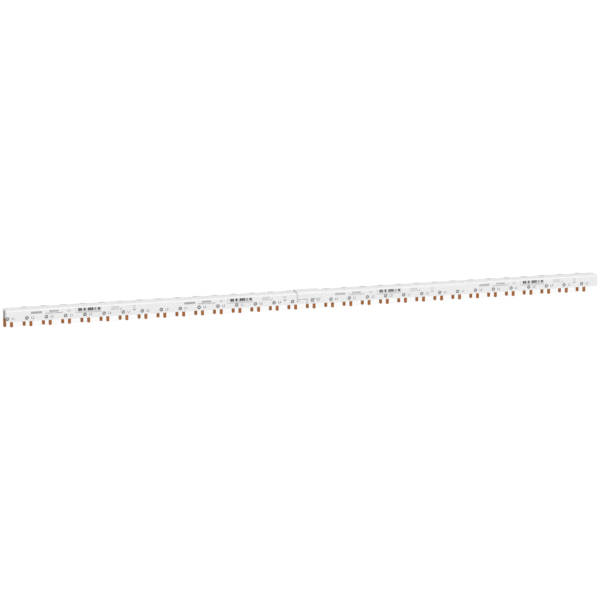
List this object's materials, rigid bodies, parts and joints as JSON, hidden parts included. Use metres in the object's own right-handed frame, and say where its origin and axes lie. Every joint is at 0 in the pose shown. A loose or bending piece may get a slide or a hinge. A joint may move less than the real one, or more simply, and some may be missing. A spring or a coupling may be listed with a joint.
{
  "type": "comb busbar",
  "caption": "Long insulated comb busbar with a neutral row and a phase row of copper teeth along its underside, in two housing lengths joined by a sleeve.",
  "frame": {"origin": "centre of the tip of the first phase tooth, at the bar's left end as seen from the marked front", "axes": "+X along the bar from the first pole to the last, +Y from the marked front to the back, +Z from the tooth tips up to the housing"},
  "size_m": [0.8658, 0.0226, 0.0258],
  "materials": {
    "housing": "fine satin moulded, pale grey-white",
    "tray": "fine satin moulded, pale grey-white",
    "sleeve": "fine satin moulded, pale grey-white",
    "insulation": "matt extruded strip",
    "copper": "bright stamped copper with brushed faces"
  },
  "bodies": {
    "root": {"cover_left": "housing", "cover_right": "housing", "tray_left": "tray", "tray_right": "tray", "joint_sleeve": "sleeve", "comb_neutral": "copper", "comb_l1": "copper", "comb_l2": "copper", "comb_l3": "copper", "separator_front": "insulation", "separator_middle": "insulation", "separator_rear": "insulation", "end_cap_left": "housing", "end_cap_right": "housing"}
  },
  "joints": []
}
